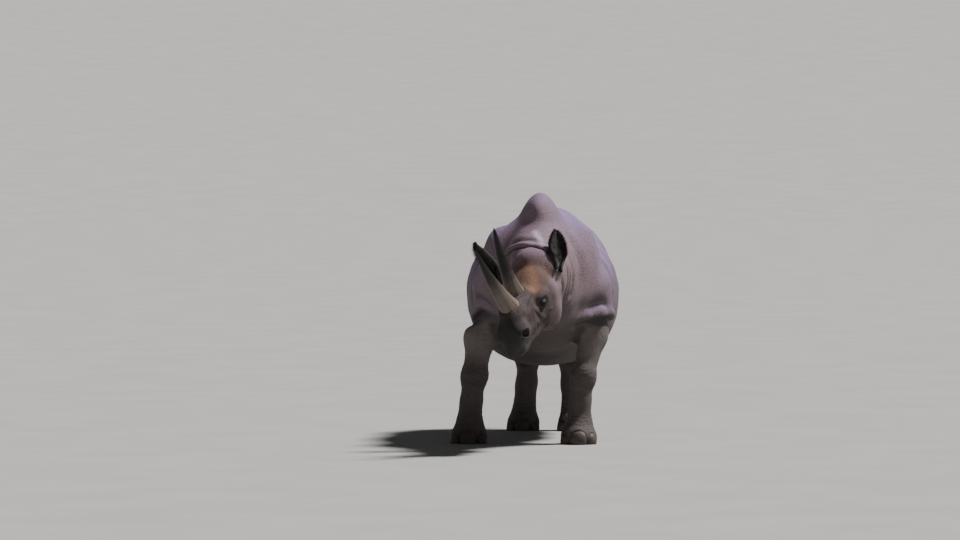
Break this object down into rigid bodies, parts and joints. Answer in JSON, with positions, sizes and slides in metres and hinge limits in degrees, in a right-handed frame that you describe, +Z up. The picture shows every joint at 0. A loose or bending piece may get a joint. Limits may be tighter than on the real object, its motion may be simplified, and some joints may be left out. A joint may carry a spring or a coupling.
{
  "type": "black rhinoceros figure",
  "caption": "Life-size still figure of a standing adult black rhinoceros with two long horns, its head low and turned a little to its right.",
  "frame": {"origin": "on the floor, under the middle of the box round the whole animal", "axes": "+Z up; the animal faces -Y and its left side is +X"},
  "size_m": [1.042, 3.2212, 1.5662],
  "materials": {
    "skin": "dry matte folded hide, grey with a mauve cast, browner on the face",
    "horn": "worn fibrous horn, dark, paler where it is scraped",
    "nail": "dull worn toenail",
    "eye": "wet dark brown eye"
  },
  "bodies": {
    "root": {"head": "skin", "neck": "skin", "trunk": "skin", "tail": "skin", "foreleg_left": "skin", "foreleg_right": "skin", "hindleg_left": "skin", "hindleg_right": "skin", "ear_left": "skin", "ear_right": "skin", "horn_front": "horn", "horn_rear": "horn", "eye_left": "eye", "eye_right": "eye", "nail_fore_left_1": "nail", "nail_fore_left_2": "nail", "nail_fore_left_3": "nail", "nail_fore_right_1": "nail", "nail_fore_right_2": "nail", "nail_fore_right_3": "nail", "nail_hind_left_1": "nail", "nail_hind_left_2": "nail", "nail_hind_left_3": "nail", "nail_hind_right_1": "nail", "nail_hind_right_2": "nail", "nail_hind_right_3": "nail"}
  },
  "joints": []
}
